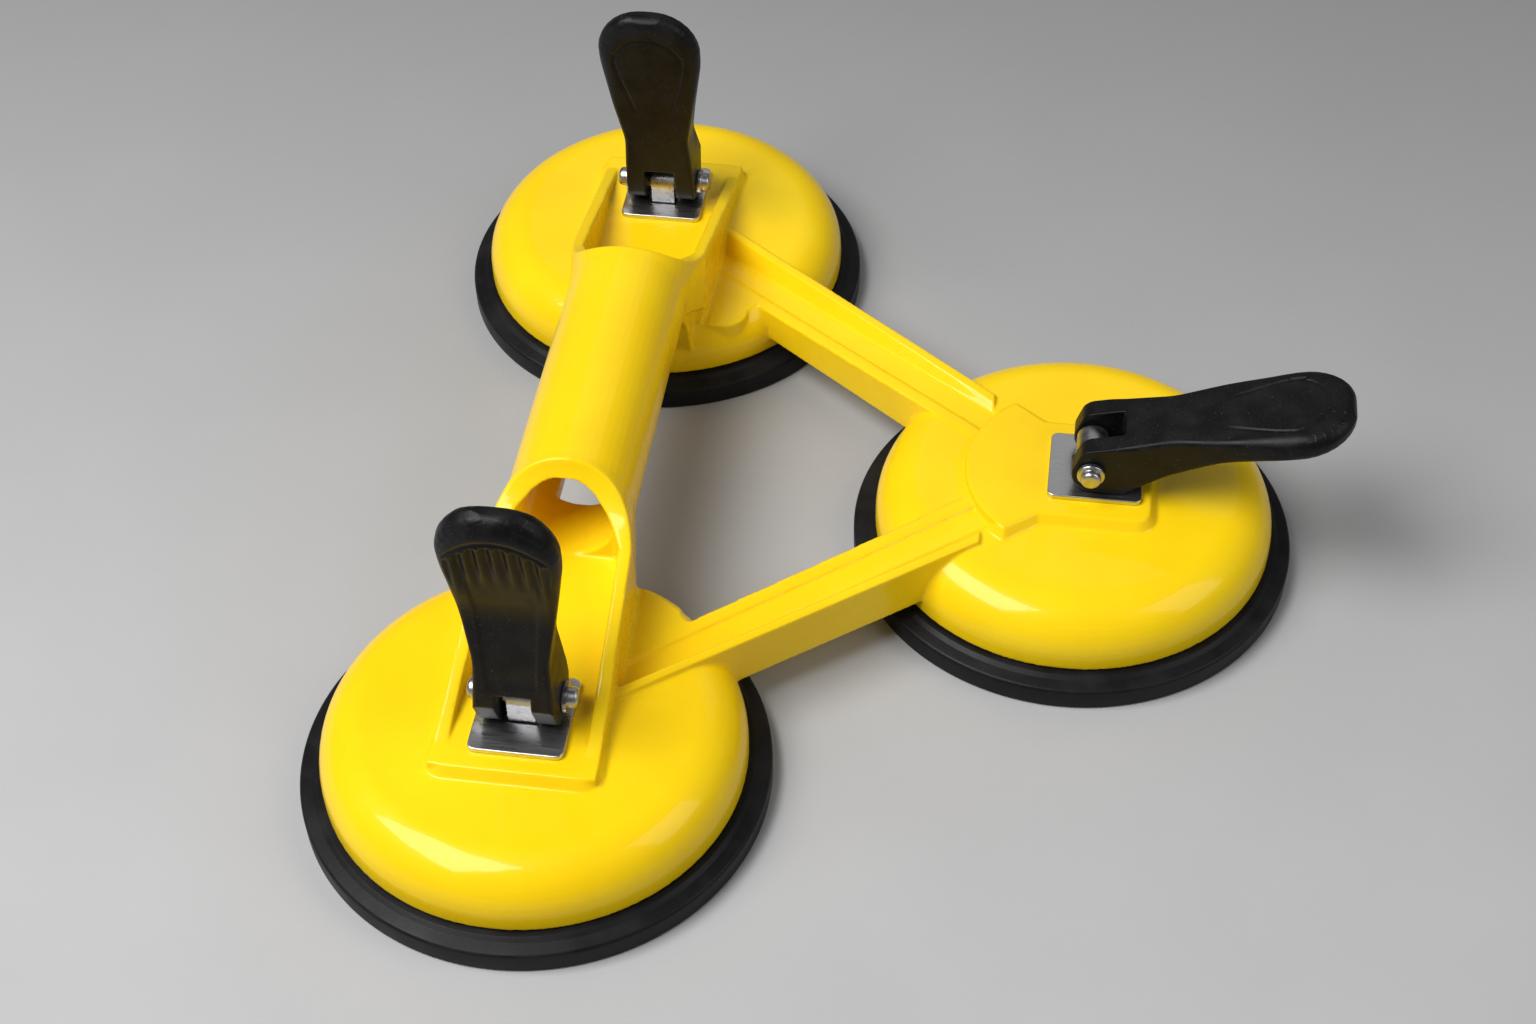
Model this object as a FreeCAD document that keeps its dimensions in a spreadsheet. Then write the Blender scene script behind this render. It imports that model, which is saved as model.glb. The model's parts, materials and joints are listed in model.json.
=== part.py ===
"""Triple suction cup lifter: a cast frame on three rubber vacuum pads, each worked by a folding lever.

The frame of the model: origin on the floor under the middle of the whole object, +X towards the third cup,
+Y along the handle from cup a to cup b, +Z up. Lengths are in millimetres and angles in degrees.
"""
import FreeCAD, Part
import Sketcher
import math
import os

SIZES = {
    # layout of the three cups
    "cup_spacing": 196,
    "third_reach": 130,
    # rubber pads
    "pad_diameter": 120,
    "pad_rim_height": 6.6,
    "pad_edge": 1,
    "pad_hollow": 1,
    "sealing_width": 12,
    "pad_cover": 4.2,
    "pad_boss_wall": 3,
    "soft_gap": 0.3,
    # steel core plate in each pad
    "core_diameter": 56,
    "core_thickness": 2.5,
    # domes of the casting
    "dome_diameter": 108,
    "dome_height": 26,
    "dome_crown": 0.8,
    "dome_shoulder": 13,
    "dome_wall": 4,
    "skirt_height": 8.5,
    # flat platforms that carry the wear plates
    "platform_height": 28.5,
    "platform_draft": 35,
    "platform_front": 22,
    "platform_width": 42,
    "platform_corner": 4,
    "third_front": 20,
    "third_width": 35,
    "third_radius": 30,
    # handle tube and its scooped ends
    "handle_radius": 16.8,
    "handle_bore": 12.3,
    "parting_step": 0.4,
    "scoop_reach": 55.5,
    "scoop_knee_reach": 50,
    "scoop_knee_height": 47,
    "scoop_knee_round": 24,
    "scoop_end": 16,
    "scoop_wall": 3.5,
    "neck_reach": 50,
    "neck_flare": 5,
    "neck_round": 9,
    "flare_reach": 60,
    "flare_drop": 3,
    "flare_full_reach": 40,
    "flare_full_width": 39,
    "gusset_reach": 46,
    "gusset_length": 26,
    "gusset_width": 15,
    "gusset_height": 24,
    "gusset_round": 7,
    "grip_slot_length": 60,
    "grip_slot_width": 14,
    # arms to the third cup: a trough along their tops gets shallower from the handle to the third cup
    "arm_top": 27,
    "arm_width": 16.5,
    "arm_depth": 14.5,
    "arm_lip": 2.6,
    "arm_inner_lip": 4,
    "trough_root": 20.2,
    "trough_depth": 7,
    "trough_end_depth": 0.8,
    "trough_draft": 2.5,
    "trough_step": 1,
    "trough_overrun": 30,
    # wear plates
    "plate_width": 24,
    "plate_length": 25,
    "plate_thickness": 1.5,
    "plate_offset": 1.5,
    "plate_corner": 2,
    # pull straps, which stand a little outward of the cups' axes
    "stem_offset": 3.5,
    "strap_width": 6.8,
    "strap_thickness": 1.5,
    "strap_foot": 6,
    "strap_bend": 2,
    "strap_room": 0.4,
    # pivot pins and their retainers
    "pin_diameter": 5.5,
    "pin_fit": 0.05,
    "pin_play": 0.3,
    "pin_head_diameter": 7.4,
    "pin_head_height": 1.4,
    "pin_tail": 0.4,
    "retainer_diameter": 8,
    "retainer_thickness": 1,
    # levers: heights are above the wear plate with the lever folded down
    "lever_fold": 108,
    "lever_a_short": 41,
    "lever_b_short": 25,
    "released_height": 5,
    "pad_lift": 2.6,
    "foot_gap": 0.25,
    "ear_width": 20,
    "ear_height": 14.4,
    "ear_round": 4.5,
    "fork_gap": 9,
    "fork_reach": 8,
    "fork_round": 1,
    "toe_reach": 9.5,
    "toe_round": 1,
    "knee_reach": 33,
    "knee_height": 16.4,
    "knee_round": 25,
    "back_reach": 31,
    "back_height": 23.4,
    "back_round": 60,
    "lever_reach": 66,
    "tip_height": 33.5,
    "tip_depth": 9,
    "tip_round": 4,
    "waist_reach": 20,
    "waist_width": 18.6,
    "waist_round": 20,
    "head_reach": 48.5,
    "head_width": 29,
    "head_round": 34,
    "head_end_round": 13.2,
    "flute_pitch": 3.3,
    "flute_width": 2.2,
    "flute_depth": 1,
    "flute_length": 15,
    "flute_inset": 4,
}
FLUTE_COUNT = 7

doc = FreeCAD.newDocument("triple_suction_cup_lifter")
sheet = doc.addObject("Spreadsheet::Sheet", "Sizes")
for row, (alias, number) in enumerate(SIZES.items(), 1):
    sheet.set(f"A{row}", alias)
    sheet.set(f"B{row}", str(number))
    sheet.setAlias(f"B{row}", alias)
doc.recompute()


class Size:
    """A number worked out from the sheet, with the expression that ties a feature to it."""

    def __init__(self, value, text):
        self.value = float(value)
        self.text = text

    def combine(self, sign, other, value):
        return Size(value, f"({self.text} {sign} {other.text})")

    def __add__(self, other):
        other = as_size(other)
        return self.combine("+", other, self.value + other.value)

    def __sub__(self, other):
        other = as_size(other)
        return self.combine("-", other, self.value - other.value)

    def __mul__(self, other):
        other = as_size(other)
        return self.combine("*", other, self.value * other.value)

    def __truediv__(self, other):
        other = as_size(other)
        return self.combine("/", other, self.value / other.value)

    def __rsub__(self, other):
        return as_size(other) - self

    def __neg__(self):
        return Size(-self.value, f"(-{self.text})")

    def sin(self):
        return Size(math.sin(math.radians(self.value)), f"sin({self.text})")

    def cos(self):
        return Size(math.cos(math.radians(self.value)), f"cos({self.text})")

    def root(self):
        return Size(math.sqrt(self.value), f"sqrt({self.text})")


def as_size(thing):
    return thing if isinstance(thing, Size) else Size(thing, repr(float(thing)))


def size(alias):
    return Size(sheet.get(alias), f"Sizes.{alias}")


def draw_outline(sketch, corners):
    """Draws a closed outline through corners (across, up) or (across, up, rounding radius).

    Straight lines join the corners, a tangent arc rounds each corner that has a radius, and every corner
    and radius is tied to its expression.
    """
    corners = [[as_size(number) for number in corner] for corner in corners]
    places = [FreeCAD.Vector(corner[0].value, corner[1].value, 0) for corner in corners]
    leaves = []
    for index, corner in enumerate(corners):
        here = places[index]
        inward = (here - places[index - 1]).normalize()
        outward = (places[(index + 1) % len(places)] - here).normalize()
        radius = corner[2].value if len(corner) > 2 else 0
        cut = radius * math.tan(inward.getAngle(outward) / 2)
        leaves.append((here - inward * cut, here + outward * cut, inward, outward))
    lines = []
    for index in range(len(corners)):
        after = (index + 1) % len(corners)
        lines.append(sketch.addGeometry(Part.LineSegment(leaves[index][1], leaves[after][0])))
    for index, corner in enumerate(corners):
        before, behind = lines[index - 1], lines[index]
        if len(corner) == 2:
            sketch.addConstraint(Sketcher.Constraint("Coincident", before, 2, behind, 1))
            tie(sketch, "DistanceX", (behind, 1), corner[0])
            tie(sketch, "DistanceY", (behind, 1), corner[1])
            continue
        start, end, inward, outward = leaves[index]
        side = 1 if inward.x * outward.y > inward.y * outward.x else -1
        centre = start + FreeCAD.Vector(-inward.y, inward.x, 0) * side * corner[2].value
        first, last = (start, end) if side > 0 else (end, start)
        circle = Part.Circle(centre, FreeCAD.Vector(0, 0, 1), corner[2].value)
        angles = [math.atan2(point.y - centre.y, point.x - centre.x) for point in (first, last)]
        arc = sketch.addGeometry(Part.ArcOfCircle(circle, *angles))
        entry, leave = (1, 2) if side > 0 else (2, 1)
        sketch.addConstraint(Sketcher.Constraint("Tangent", before, 2, arc, entry))
        sketch.addConstraint(Sketcher.Constraint("Tangent", arc, leave, behind, 1))
        tie(sketch, "Radius", (arc,), corner[2])
        point = sketch.addGeometry(Part.Point(places[index]), True)
        sketch.addConstraint(Sketcher.Constraint("PointOnObject", point, 1, before))
        sketch.addConstraint(Sketcher.Constraint("PointOnObject", point, 1, behind))
        tie(sketch, "DistanceX", (point, 1), corner[0])
        tie(sketch, "DistanceY", (point, 1), corner[1])


def tie(sketch, kind, target, wanted):
    index = sketch.addConstraint(Sketcher.Constraint(kind, *target, wanted.value))
    sketch.setExpression(f"Constraints[{index}]", wanted.text)


def draw_circle(sketch, radius):
    """Draws a circle of a tied radius about the sketch's own origin."""
    circle = sketch.addGeometry(Part.Circle(FreeCAD.Vector(), FreeCAD.Vector(0, 0, 1), radius.value))
    sketch.addConstraint(Sketcher.Constraint("Coincident", circle, 3, -1, 1))
    tie(sketch, "Radius", (circle,), radius)


def body_sketch(body, name, role):
    """A sketch on one of the body's own origin planes."""
    sketch = body.newObject("Sketcher::SketchObject", name)
    plane = next(item for item in body.Origin.OriginFeatures if item.Role == role)
    sketch.AttachmentSupport = (plane, [""])
    sketch.MapMode = "FlatFace"
    return sketch


def new_body(label):
    body = doc.addObject("PartDesign::Body", label)
    body.Label = label
    return body


def feature(body, kind, name, sketch, length=None):
    """A pad, pocket or revolution of a sketch; a length makes it symmetric about the sketch plane."""
    made = body.newObject(f"PartDesign::{kind}", name)
    made.Profile = sketch
    if length is None:
        made.ReferenceAxis = (sketch, ["V_Axis"])
        made.Angle = 360
    else:
        made.Midplane = True
        made.setExpression("Length", length.text)
    sketch.Visibility = False
    return made


def place_text(across, along, up, turn=0):
    """The expression of a placement: a point, and a turn about the vertical in degrees."""
    across, along, up, turn = (as_size(number) for number in (across, along, up, turn))
    return (f"placement(vector({across.text}; {along.text}; {up.text}); "
            f"rotation(vector(0; 0; 1); {turn.text}))")


# Places that several pieces share
half_row = size("cup_spacing") / 2
lever_end = size("stem_offset") + size("lever_reach")
row_x = (size("pad_diameter") / 2 - size("third_reach") - lever_end) / 2
third_x = row_x + size("third_reach")
plate_top = size("platform_height") + size("plate_thickness")
locked_height = size("released_height") + size("pad_lift")
pin_z = plate_top + size("released_height")
core_bottom = size("pad_cover") + size("soft_gap")
core_top = core_bottom + size("core_thickness")
strap_inside = size("pin_diameter") / 2 + size("pin_fit") * 2
strap_outside = strap_inside + size("strap_thickness")
slot_length = (strap_outside + size("strap_room")) * 2
slot_width = size("strap_width") + size("strap_room") * 2
handle_z = size("platform_height") + size("handle_bore") + size("parting_step")

# Each cup: its centre, the way its lever folds, and how far that lever stands up from its folded place
CUPS = {
    "a": (row_x, -half_row, -90, size("lever_fold") - size("lever_a_short")),
    "b": (row_x, half_row, 90, size("lever_fold") - size("lever_b_short")),
    "c": (third_x, as_size(0), 0, as_size(0)),
}


def cup_place(cup, up=0):
    across, along, turn, stand = CUPS[cup]
    return place_text(across, along, up, turn)


def stem_place(cup, up=0):
    return f"{cup_place(cup)} * {place_text(size('stem_offset'), 0, up)}"


def stem_lift(cup):
    """How far the strap, core plate and pin of a cup stand above their released place at rest."""
    return size("pad_lift") * (size("lever_fold") - CUPS[cup][3]) / size("lever_fold")


def build_rubber_pad(cup):
    """Moulded rubber disc: a flat sealing ring, a hollow inside it and a seat for the core plate on top."""
    body = new_body(f"rubber_pad_{cup}")
    lift = stem_lift(cup)
    rim = size("pad_diameter") / 2
    edge = size("pad_edge")
    top = size("skirt_height") - size("soft_gap")
    seat = size("core_diameter") / 2 + size("soft_gap")
    boss = seat + size("pad_boss_wall")
    shoulder = size("dome_diameter") / 2 + edge
    floor = size("pad_hollow") + lift
    membrane_foot = rim - size("sealing_width")
    profile = body_sketch(body, f"pad_profile_{cup}", "XZ_Plane")
    draw_outline(profile, [
        (0, floor),
        (seat, floor),
        (membrane_foot, 0),
        (rim - edge, 0),
        (rim, edge),
        (rim, size("pad_rim_height") - edge),
        (rim - edge, size("pad_rim_height")),
        (shoulder, top),
        (shoulder - size("dome_wall"), top),
        (boss, core_top + lift),
        (seat, core_top + lift),
        (seat, core_bottom + lift - size("soft_gap")),
        (0, core_bottom + lift - size("soft_gap")),
    ])
    feature(body, "Revolution", f"pad_disc_{cup}", profile)
    body.setExpression("Placement", cup_place(cup))
    return body


def build_core_plate(cup):
    """Steel disc bonded into the pad's seat, which the strap pulls up."""
    body = new_body(f"core_plate_{cup}")
    radius = size("core_diameter") / 2
    bevel = size("pin_play")
    profile = body_sketch(body, f"core_profile_{cup}", "XZ_Plane")
    draw_outline(profile, [
        (0, core_bottom),
        (radius - bevel, core_bottom),
        (radius, core_bottom + bevel),
        (radius, core_top - bevel),
        (radius - bevel, core_top),
        (0, core_top),
    ])
    feature(body, "Revolution", f"core_disc_{cup}", profile)
    body.setExpression("Placement", cup_place(cup, stem_lift(cup)))
    return body


def build_pull_strap(cup):
    """Steel strip folded over the pin, with its two ends turned out and welded on the core plate."""
    body = new_body(f"pull_strap_{cup}")
    toe = strap_outside + size("strap_foot")
    foot_top = core_top + size("strap_thickness")
    bend = size("strap_bend")
    inner_bend = bend - size("strap_thickness")
    nearly_half_round = 0.98
    inside_round = strap_inside * nearly_half_round
    outside_round = strap_outside * nearly_half_round
    profile = body_sketch(body, f"strap_profile_{cup}", "XZ_Plane")
    draw_outline(profile, [
        (-toe, core_top),
        (-strap_inside, core_top, bend),
        (-strap_inside, pin_z + strap_inside, inside_round),
        (strap_inside, pin_z + strap_inside, inside_round),
        (strap_inside, core_top, bend),
        (toe, core_top),
        (toe, foot_top),
        (strap_outside, foot_top, inner_bend),
        (strap_outside, pin_z + strap_outside, outside_round),
        (-strap_outside, pin_z + strap_outside, outside_round),
        (-strap_outside, foot_top, inner_bend),
        (-toe, foot_top),
    ])
    feature(body, "Pad", f"strap_strip_{cup}", profile, size("strap_width"))
    body.setExpression("Placement", stem_place(cup, stem_lift(cup)))
    return body


def build_wear_plate(cup):
    """Flat steel plate with rounded corners and a slot for the strap, on which the lever's foot turns."""
    body = new_body(f"wear_plate_{cup}")
    inner = size("plate_offset") - size("plate_length") / 2
    outer = size("plate_offset") + size("plate_length") / 2
    side = size("plate_width") / 2
    corner = size("plate_corner")
    outline = body_sketch(body, f"plate_outline_{cup}", "XY_Plane")
    draw_outline(outline, [
        (inner, -side, corner),
        (outer, -side, corner),
        (outer, side, corner),
        (inner, side, corner),
    ])
    sheet_metal = feature(body, "Pad", f"plate_sheet_{cup}", outline, size("plate_thickness"))
    sheet_metal.Midplane = False
    slot = body_sketch(body, f"plate_slot_{cup}", "XY_Plane")
    draw_outline(slot, [
        (-slot_length / 2, -slot_width / 2),
        (slot_length / 2, -slot_width / 2),
        (slot_length / 2, slot_width / 2),
        (-slot_length / 2, slot_width / 2),
    ])
    feature(body, "Pocket", f"plate_opening_{cup}", slot, size("plate_thickness") * 4)
    body.setExpression("Placement", stem_place(cup, size("platform_height")))
    return body


def build_pivot_pin(cup):
    """Steel pin with a low domed head, turned along the lever's fold axis."""
    body = new_body(f"pivot_pin_{cup}")
    radius = size("pin_diameter") / 2
    head = size("pin_head_diameter") / 2
    shoulder = size("ear_width") / 2 + size("pin_play")
    end = shoulder + size("retainer_thickness") + size("pin_tail")
    head_end = shoulder + size("pin_head_height")
    nearly_all = 0.9
    profile = body_sketch(body, f"pin_profile_{cup}", "XY_Plane")
    draw_outline(profile, [
        (0, -head_end),
        (head, -head_end, size("pin_head_height") * nearly_all),
        (head, -shoulder),
        (radius, -shoulder),
        (radius, end - size("pin_tail")),
        (radius - size("pin_tail"), end),
        (0, end),
    ])
    feature(body, "Revolution", f"pin_turned_{cup}", profile)
    body.setExpression("Placement", stem_place(cup, pin_z + stem_lift(cup)))
    return body


def build_pin_retainer(cup):
    """Push-on washer that holds the pin's plain end."""
    body = new_body(f"pin_retainer_{cup}")
    bore = size("pin_diameter") / 2 + size("pin_fit")
    outside = size("retainer_diameter") / 2
    near = size("ear_width") / 2 + size("pin_play")
    far = near + size("retainer_thickness") - size("pin_fit")
    profile = body_sketch(body, f"retainer_profile_{cup}", "XY_Plane")
    draw_outline(profile, [
        (bore, near),
        (outside, near),
        (outside, far),
        (bore, far),
    ])
    feature(body, "Revolution", f"retainer_ring_{cup}", profile)
    body.setExpression("Placement", stem_place(cup, pin_z + stem_lift(cup)))
    return body


def build_lever(cup):
    """Moulded lever with its pin at the body's origin, drawn folded down along +X.

    Its foot has two flats, one for each end of the fold, and the round between them has the mean of their
    distances from the pin as its radius, so that the pin rises evenly as the lever folds.
    """
    body = new_body(f"lever_{cup}")
    fold = size("lever_fold")
    gap = size("foot_gap")
    sole = gap - locked_height
    back_distance = size("released_height") - gap
    heel = (-back_distance - fold.cos() * sole) / fold.sin()
    ear_top = size("ear_height") - locked_height
    ear_back = (-back_distance - fold.cos() * ear_top) / fold.sin()
    tip_top = size("tip_height") - locked_height
    side = body_sketch(body, f"lever_side_{cup}", "XZ_Plane")
    draw_outline(side, [
        (heel, sole, (size("released_height") + locked_height) / 2 - gap),
        (size("toe_reach"), sole, size("toe_round")),
        (size("knee_reach"), size("knee_height") - locked_height, size("knee_round")),
        (size("lever_reach"), tip_top - size("tip_depth"), size("tip_round")),
        (size("lever_reach"), tip_top, size("tip_round")),
        (size("back_reach"), size("back_height") - locked_height, size("back_round")),
        (ear_back, ear_top, size("ear_round")),
    ])
    feature(body, "Pad", f"lever_blank_{cup}", side, size("head_width"))

    # the plan outline is what stays; everything between it and a larger rectangle is cut away
    plan = body_sketch(body, f"lever_plan_{cup}", "XY_Plane")
    ear = size("ear_width") / 2
    waist = size("waist_width") / 2
    head = size("head_width") / 2
    far = size("lever_reach") * 2
    half_plan = [
        (size("toe_reach"), ear, size("waist_round")),
        (size("waist_reach"), waist, size("waist_round")),
        (size("head_reach"), head, size("head_round")),
        (size("lever_reach"), head, size("head_end_round")),
    ]
    near_side = [(across, -along, rounding) for across, along, rounding in half_plan]
    draw_outline(plan, [(-far, -ear)] + near_side + half_plan[::-1] + [(-far, ear)])
    draw_outline(plan, [(-far * 2, -far), (far, -far), (far, far), (-far * 2, far)])
    feature(body, "Pocket", f"lever_flanks_{cup}", plan, far * 2)

    fork = body_sketch(body, f"lever_fork_{cup}", "XY_Plane")
    cheek = size("fork_gap") / 2
    draw_outline(fork, [
        (-far, -cheek),
        (size("fork_reach"), -cheek, size("fork_round")),
        (size("fork_reach"), cheek, size("fork_round")),
        (-far, cheek),
    ])
    feature(body, "Pocket", f"lever_slot_{cup}", fork, far)

    bore = body_sketch(body, f"lever_bore_{cup}", "XZ_Plane")
    draw_circle(bore, size("pin_diameter") / 2 + size("pin_fit"))
    feature(body, "Pocket", f"lever_pin_hole_{cup}", bore, far)

    # finger flutes side by side along the underside of the head, short of the lever's tip
    run = size("lever_reach") - size("knee_reach")
    rise = size("tip_height") - size("tip_depth") - size("knee_height")
    slant = (run * run + rise * rise).root()
    flutes = body_sketch(body, f"lever_flutes_{cup}", "XY_Plane")
    knee = place_text(size("knee_reach"), 0, size("knee_height") - locked_height)
    lean = f"placement(vector(0; 0; 0); rotation(vector(0; -1; 0); atan2({rise.text}; {run.text})))"
    flutes.setExpression("AttachmentOffset", f"{knee} * {lean}")
    far_end = slant - size("flute_inset")
    near_end = far_end - size("flute_length")
    nearly_half = 0.45
    end_round = size("flute_width") * nearly_half
    for count in range(FLUTE_COUNT):
        middle = size("flute_pitch") * (count - (FLUTE_COUNT - 1) / 2)
        draw_outline(flutes, [
            (near_end, middle - size("flute_width") / 2, end_round),
            (far_end, middle - size("flute_width") / 2, end_round),
            (far_end, middle + size("flute_width") / 2, end_round),
            (near_end, middle + size("flute_width") / 2, end_round),
        ])
    feature(body, "Pocket", f"lever_fluting_{cup}", flutes, size("flute_depth") * 2)

    turn = CUPS[cup][3]
    folded = f"placement(vector(0; 0; 0); rotation(vector(0; -1; 0); {turn.text}))"
    body.setExpression("Placement", f"{stem_place(cup, pin_z + stem_lift(cup))} * {folded}")
    return body


def loose_sketch(name, place, corners):
    """A sketch of the casting, placed by an expression."""
    sketch = doc.addObject("Sketcher::SketchObject", name)
    sketch.setExpression("Placement", place)
    draw_outline(sketch, corners)
    return sketch


def extrude(name, sketch, length, symmetric=False):
    solid = doc.addObject("Part::Extrusion", name)
    solid.Base = sketch
    solid.DirMode = "Normal"
    solid.Solid = True
    solid.Symmetric = symmetric
    solid.setExpression("LengthFwd", length.text)
    return solid


def spin(name, sketch, cup):
    """A full turn of a sketch about a cup's own axis."""
    solid = doc.addObject("Part::Revolution", name)
    solid.Source = sketch
    solid.Axis = (0, 0, 1)
    solid.Angle = 360
    solid.Solid = True
    solid.setExpression("Base.x", CUPS[cup][0].text)
    solid.setExpression("Base.y", CUPS[cup][1].text)
    return solid


def join_all(base, tools):
    """Joins solids to a base one after the other."""
    for tool in tools:
        joined = doc.addObject("Part::Fuse", f"{tool.Name}_joined")
        joined.Base = base
        joined.Tool = tool
        base = joined
    return base


def cut_all(base, tools):
    """Cuts tools out of a base one after the other."""
    for tool in tools:
        rest = doc.addObject("Part::Cut", f"{tool.Name}_cut")
        rest.Base = base
        rest.Tool = tool
        base = rest
    return base


UPRIGHT = " * placement(vector(0; 0; 0); rotation(vector(1; 0; 0); 90))"
past = size("handle_radius")


def dome_outside(cup):
    radius = size("dome_diameter") / 2
    profile = loose_sketch(f"dome_profile_{cup}", cup_place(cup) + UPRIGHT, [
        (0, size("skirt_height")),
        (radius, size("skirt_height")),
        (radius, size("dome_height") - size("dome_crown"), size("dome_shoulder")),
        (0, size("dome_height")),
    ])
    return spin(f"dome_{cup}", profile, cup)


def dome_inside(cup):
    radius = size("dome_diameter") / 2 - size("dome_wall")
    ceiling = size("dome_height") - size("dome_wall")
    profile = loose_sketch(f"hollow_profile_{cup}", cup_place(cup) + UPRIGHT, [
        (0, 0),
        (radius, 0),
        (radius, ceiling - size("dome_crown"), size("dome_shoulder") - size("dome_wall")),
        (0, ceiling),
    ])
    return spin(f"dome_hollow_{cup}", profile, cup)


def row_platform(cup):
    """Raised flat of a handle cup, between and in front of the scoop's walls."""
    front = size("platform_front")
    half = size("platform_width") / 2
    corner = size("platform_corner")
    outline = loose_sketch(f"platform_outline_{cup}", cup_place(cup, size("platform_height")), [
        (-front, -size("handle_radius")),
        (front, -half, corner),
        (front, half, corner),
        (-front, size("handle_radius")),
    ])
    return drafted(f"platform_{cup}", outline)


def drafted(name, outline):
    """Extrudes a platform's top outline down into its dome, with sides that lean out."""
    solid = extrude(name, outline, size("platform_height") - size("dome_height") + size("dome_wall") / 2)
    solid.Reversed = True
    solid.setExpression("TaperAngle", size("platform_draft").text)
    return solid


def arch_section(name, cup, reach, half, bottom):
    """A round-topped section across the handle: straight sides up to the tube's axis and an arch over them."""
    sketch = doc.addObject("Sketcher::SketchObject", name)
    sketch.setExpression("Placement", f"{cup_place(cup)} * {place_text(reach, 0, 0, 90)}{UPRIGHT}")
    corners = [(-half, handle_z), (-half, bottom), (half, bottom), (half, handle_z)]
    places = [FreeCAD.Vector(across.value, up.value, 0) for across, up in corners]
    sides = [sketch.addGeometry(Part.LineSegment(*pair)) for pair in zip(places, places[1:])]
    circle = Part.Circle(FreeCAD.Vector(0, handle_z.value, 0), FreeCAD.Vector(0, 0, 1), half.value)
    arch = sketch.addGeometry(Part.ArcOfCircle(circle, 0, math.pi))
    for side, (across, up) in zip(sides, corners):
        tie(sketch, "DistanceX", (side, 1), across)
        tie(sketch, "DistanceY", (side, 1), up)
    sketch.addConstraint(Sketcher.Constraint("Coincident", sides[0], 2, sides[1], 1))
    sketch.addConstraint(Sketcher.Constraint("Coincident", sides[1], 2, sides[2], 1))
    sketch.addConstraint(Sketcher.Constraint("Vertical", sides[2]))
    sketch.addConstraint(Sketcher.Constraint("Tangent", sides[2], 2, arch, 1))
    sketch.addConstraint(Sketcher.Constraint("Coincident", arch, 2, sides[0], 1))
    tie(sketch, "DistanceY", (arch, 3), handle_z)
    return sketch


def flared(name, sections):
    solid = doc.addObject("Part::Loft", name)
    solid.Sections = sections
    solid.Solid = True
    solid.Ruled = True
    return solid


def scoop_outside(cup):
    """The handle's end outside: it spreads quickly from the tube, then slowly to the platform's front."""
    start = size("handle_radius") - size("parting_step")
    full = size("flare_full_width") / 2
    bottom = size("dome_height") - size("dome_wall") / 2
    return flared(f"scoop_{cup}", [
        arch_section(f"scoop_tube_end_{cup}", cup, -size("flare_reach"), start, handle_z - size("flare_drop")),
        arch_section(f"scoop_full_{cup}", cup, -size("flare_full_reach"), full, bottom),
        arch_section(f"scoop_front_{cup}", cup, size("platform_front"), size("platform_width") / 2, bottom),
    ])


def scoop_inside(cup):
    """The room in the handle's end, which spreads from the bore to just inside the scoop's walls."""
    full = size("flare_full_width") / 2 - size("scoop_wall")
    half = size("platform_width") / 2 - size("scoop_wall")
    bottom = size("platform_height")
    return flared(f"scoop_room_{cup}", [
        arch_section(f"room_tube_end_{cup}", cup, -size("scoop_knee_reach"), size("handle_bore"), bottom),
        arch_section(f"room_full_{cup}", cup, -size("flare_full_reach"), full, bottom),
        arch_section(f"room_front_{cup}", cup, size("platform_front") + past, half, bottom),
    ])


def scoop_neck(cup):
    """Web under the end of the tube, which stands on the dome and flares into the tube's underside."""
    neck = -size("neck_reach")
    low = size("dome_height") - size("dome_shoulder")
    outline = loose_sketch(f"neck_outline_{cup}", cup_place(cup) + UPRIGHT, [
        (neck + size("dome_shoulder"), low),
        (neck + size("dome_shoulder"), handle_z),
        (neck - size("neck_flare") - size("neck_round"), handle_z),
        (neck - size("neck_flare"), size("platform_height"), size("neck_round")),
        (neck, low),
    ])
    width = (size("handle_radius") - size("parting_step")) * 2
    return extrude(f"scoop_neck_{cup}", outline, width, symmetric=True)


def scoop_slope(cup):
    """What the curved cut takes off the end of the handle: steep at the tube's top, then down to the platform."""
    high = handle_z + size("handle_radius") * 2
    knee = size("scoop_knee_reach")
    knee_z = size("scoop_knee_height")
    steepness = (size("scoop_reach") - knee) / (handle_z + size("handle_radius") - knee_z)
    far = -knee - steepness * (high - knee_z)
    outline = loose_sketch(f"slope_outline_{cup}", cup_place(cup) + UPRIGHT, [
        (size("scoop_end"), size("platform_height")),
        (size("platform_front") + past * 2, size("platform_height")),
        (size("platform_front") + past * 2, high),
        (far, high),
        (-knee, knee_z, size("scoop_knee_round")),
    ])
    return extrude(f"scoop_slope_{cup}", outline, past * 4, symmetric=True)


def gusset(cup, side):
    """Rounded block in the corner between the neck and the arm, which the arm's inner lip runs on to."""
    near = size("handle_radius") - size("parting_step")
    out = near + size("gusset_width")
    inner = -size("gusset_reach")
    root = inner + size("gusset_length")
    low = size("arm_top") - size("arm_depth")
    outline = loose_sketch(f"gusset_outline_{cup}", cup_place(cup, low), [
        (inner, near * side),
        (root, near * side),
        (root, out * side),
        (inner, out * side, size("gusset_round")),
    ])
    return extrude(f"gusset_{cup}", outline, size("gusset_height") - low)


def handle_cylinder(name, radius, reach):
    """A round bar along the handle's axis that reaches equally far each way."""
    solid = doc.addObject("Part::Cylinder", name)
    solid.setExpression("Radius", radius.text)
    solid.setExpression("Height", (reach * 2).text)
    solid.setExpression("Placement", place_text(row_x, reach, handle_z) + UPRIGHT)
    return solid


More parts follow.
